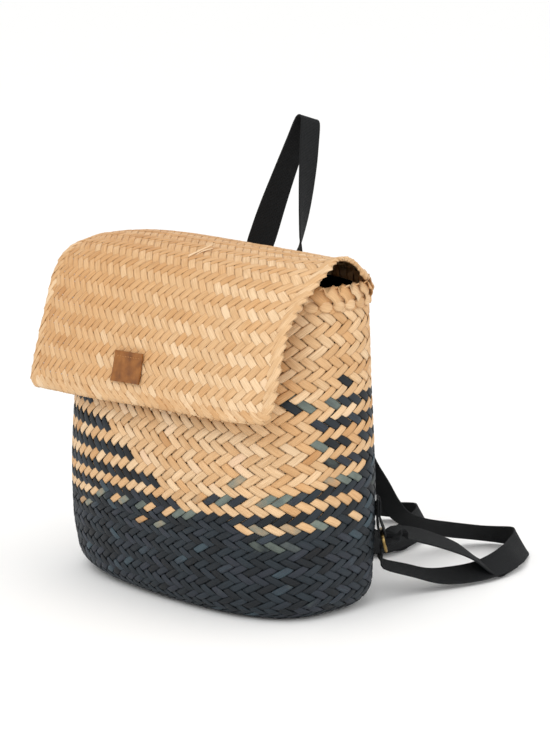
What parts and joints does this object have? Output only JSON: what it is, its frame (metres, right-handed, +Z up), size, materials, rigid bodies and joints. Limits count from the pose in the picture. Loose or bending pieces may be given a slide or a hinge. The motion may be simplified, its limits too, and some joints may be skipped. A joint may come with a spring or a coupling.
{
  "type": "woven straw backpack",
  "caption": "Upright woven straw backpack with a wide flap, bare leather label, black lining, webbing grab handle and webbing shoulder straps on brass rings.",
  "frame": {"origin": "centre of the basket's flat bottom", "axes": "+Z up through the mouth, -Y out of the front, which the flap hangs over, +X to the wearer's right"},
  "size_m": [0.332, 0.3936, 0.4234],
  "materials": {
    "straw": "plaited natural and navy dyed straw, satin",
    "lining_cloth": "matte plain woven cotton",
    "leather": "smooth tan cowhide, satin",
    "webbing": "matte black ribbed cotton webbing",
    "brass": "antique brass, lightly worn"
  },
  "bodies": {
    "root": {"basket": "straw", "lining": "lining_cloth", "flap": "straw", "leather_label": "leather", "grab_handle": "webbing", "shoulder_strap_right": "webbing", "shoulder_strap_left": "webbing", "ring_tab_right": "webbing", "ring_tab_left": "webbing", "ring_right": "brass", "ring_left": "brass"}
  },
  "joints": []
}
